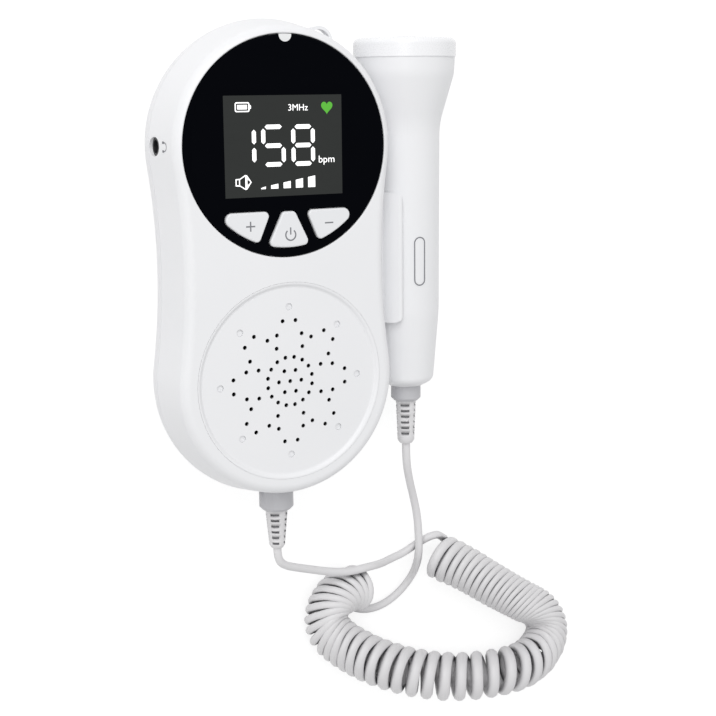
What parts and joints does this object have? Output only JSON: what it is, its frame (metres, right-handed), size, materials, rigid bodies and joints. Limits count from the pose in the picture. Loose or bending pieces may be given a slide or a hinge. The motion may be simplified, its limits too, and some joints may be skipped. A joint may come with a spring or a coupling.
{
  "type": "fetal doppler monitor",
  "caption": "Handheld ultrasound listening monitor: figure-of-eight housing with round display lens, keys and speaker dish, a probe in a side cradle and a curly lead.",
  "frame": {"origin": "on the flat back of the housing, behind the middle of the round display lens", "axes": "+Z out of the front face, +Y towards the display end, +X towards the probe and its cradle"},
  "size_m": [0.1463, 0.2184, 0.031],
  "materials": {
    "housing_white": "satin",
    "cap_white": "gloss",
    "face_white": "satin",
    "lens_black": "gloss",
    "light_pipe": "gloss",
    "display_dark": "satin",
    "module_frame": "satin",
    "key_grey": "satin",
    "circuit_board": "satin",
    "led": "gloss",
    "switch_body": "matte",
    "jack_black": "matte",
    "screw_steel": "satin",
    "dust_cloth": "matte",
    "speaker_metal": "satin",
    "speaker_paper": "matte",
    "magnet": "satin",
    "cell_wrap": "satin",
    "contact_metal": "gloss",
    "collar_grey": "satin",
    "boot_grey": "satin",
    "cord_grey": "satin",
    "crystal": "satin"
  },
  "bodies": {
    "housing": {"front_shell": "housing_white", "rear_shell": "housing_white", "speaker_grille": "housing_white", "lens_panel": "lens_black", "indicator_light_pipe": "light_pipe", "display_screen": "display_dark", "display_frame": "module_frame", "main_board": "circuit_board", "status_led": "led", "tact_switches": "switch_body", "headphone_jack": "jack_black", "case_screws": "screw_steel", "speaker_cloth": "dust_cloth", "speaker_frame": "speaker_metal", "speaker_cone": "speaker_paper", "speaker_magnet": "magnet", "battery_cell_left": "cell_wrap", "battery_cell_right": "cell_wrap", "battery_plates": "contact_metal", "battery_leaf_springs": "contact_metal", "unit_collar": "collar_grey", "unit_boot": "boot_grey", "cord_tail_unit": "cord_grey", "cord_coil": "cord_grey", "cord_tail_probe": "cord_grey"},
    "probe": {"probe_body": "housing_white", "probe_cap": "cap_white", "transducer_face": "face_white", "transducer_crystals": "crystal", "probe_board": "circuit_board", "probe_collar": "collar_grey", "probe_boot": "boot_grey"},
    "plus_key": {"plus_key": "key_grey"},
    "power_key": {"power_key": "key_grey"},
    "minus_key": {"minus_key": "key_grey"},
    "battery_door": {"battery_door": "housing_white"}
  },
  "joints": [
    {"name": "plus_press", "type": "slide", "parent": "housing", "child": "plus_key", "axis": [0, 0, -1], "range_m": [0, 0.0006], "stiffness_N_per_m": 1200},
    {"name": "power_press", "type": "slide", "parent": "housing", "child": "power_key", "axis": [0, 0, -1], "range_m": [0, 0.0006], "stiffness_N_per_m": 1200},
    {"name": "minus_press", "type": "slide", "parent": "housing", "child": "minus_key", "axis": [0, 0, -1], "range_m": [0, 0.0006], "stiffness_N_per_m": 1200},
    {"name": "battery_door_slide", "type": "slide", "parent": "housing", "child": "battery_door", "axis": [0, -1, 0], "range_m": [0, 0.008]},
    {"name": "probe_slide", "type": "slide", "parent": "housing", "child": "probe", "axis": [0, 1, 0], "range_m": [0, 0.062]}
  ]
}
